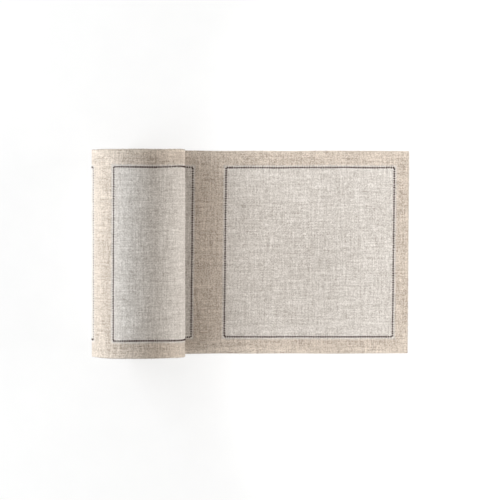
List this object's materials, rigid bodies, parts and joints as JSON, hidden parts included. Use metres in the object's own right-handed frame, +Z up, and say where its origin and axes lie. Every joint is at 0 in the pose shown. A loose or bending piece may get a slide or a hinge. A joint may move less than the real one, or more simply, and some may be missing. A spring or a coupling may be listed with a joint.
{
  "type": "napkin roll",
  "caption": "Band of linen napkins wound on a cardboard tube, one end laid flat, with perforated tear lines and a dark running-stitch square in each.",
  "frame": {"origin": "on the table, under the middle of the whole object's bounding box", "axes": "+X along the band, from the roll to the free end; +Y across the band; +Z up"},
  "size_m": [0.3112, 0.2, 0.0909],
  "materials": {
    "linen": "plain-weave natural linen, matt, with slubs",
    "thread": "matt dark brown cotton thread",
    "tie_thread": "uncut linen warp threads",
    "cardboard": "spiral-wound kraft board, matt"
  },
  "bodies": {
    "laid_cloth": {"napkin_02": "linen", "napkin_02_stitching": "thread"},
    "roll": {"napkin_03": "linen", "napkin_04": "linen", "napkin_05": "linen", "napkin_06": "linen", "napkin_07": "linen", "napkin_08": "linen", "napkin_09": "linen", "napkin_10": "linen", "napkin_11": "linen", "napkin_12": "linen", "napkin_13": "linen", "napkin_14": "linen", "napkin_15": "linen", "napkin_16": "linen", "napkin_17": "linen", "napkin_18": "linen", "napkin_19": "linen", "napkin_20": "linen", "napkin_03_stitching": "thread", "napkin_04_stitching": "thread", "napkin_05_stitching": "thread", "napkin_06_stitching": "thread", "napkin_07_stitching": "thread", "napkin_08_stitching": "thread", "napkin_09_stitching": "thread", "napkin_10_stitching": "thread", "napkin_11_stitching": "thread", "napkin_12_stitching": "thread", "napkin_13_stitching": "thread", "napkin_14_stitching": "thread", "napkin_15_stitching": "thread", "napkin_16_stitching": "thread", "napkin_17_stitching": "thread", "napkin_18_stitching": "thread", "napkin_19_stitching": "thread", "napkin_20_stitching": "thread", "tear_line_02": "tie_thread", "tear_line_03": "tie_thread", "tear_line_04": "tie_thread", "tear_line_05": "tie_thread", "tear_line_06": "tie_thread", "tear_line_07": "tie_thread", "tear_line_08": "tie_thread", "tear_line_09": "tie_thread", "tear_line_10": "tie_thread", "tear_line_11": "tie_thread", "tear_line_12": "tie_thread", "tear_line_13": "tie_thread", "tear_line_14": "tie_thread", "tear_line_15": "tie_thread", "tear_line_16": "tie_thread", "tear_line_17": "tie_thread", "tear_line_18": "tie_thread", "tear_line_19": "tie_thread"},
    "core": {"core_tube": "cardboard"},
    "tear_ties": {"tear_line_01": "tie_thread"},
    "end_napkin": {"napkin_01": "linen", "napkin_01_stitching": "thread"}
  },
  "joints": [
    {"name": "roll_turn", "type": "hinge", "parent": "laid_cloth", "child": "roll", "pos_m": [-0.1099, 0, 0.0452], "axis": [0, 1, 0], "range_deg": [-6, 12], "deforming": ["napkin_02"]},
    {"name": "core_slide", "type": "slide", "parent": "roll", "child": "core", "axis": [0, -1, 0], "range_m": [0, 0.18]},
    {"name": "end_napkin_fold", "type": "hinge", "parent": "laid_cloth", "child": "tear_ties", "pos_m": [-0.0417, 0, 0.0006], "axis": [0, -1, 0], "range_deg": [0, 110]},
    {"name": "end_napkin_tear", "type": "slide", "parent": "tear_ties", "child": "end_napkin", "axis": [1, 0, 0], "range_m": [0, 0.06]}
  ]
}
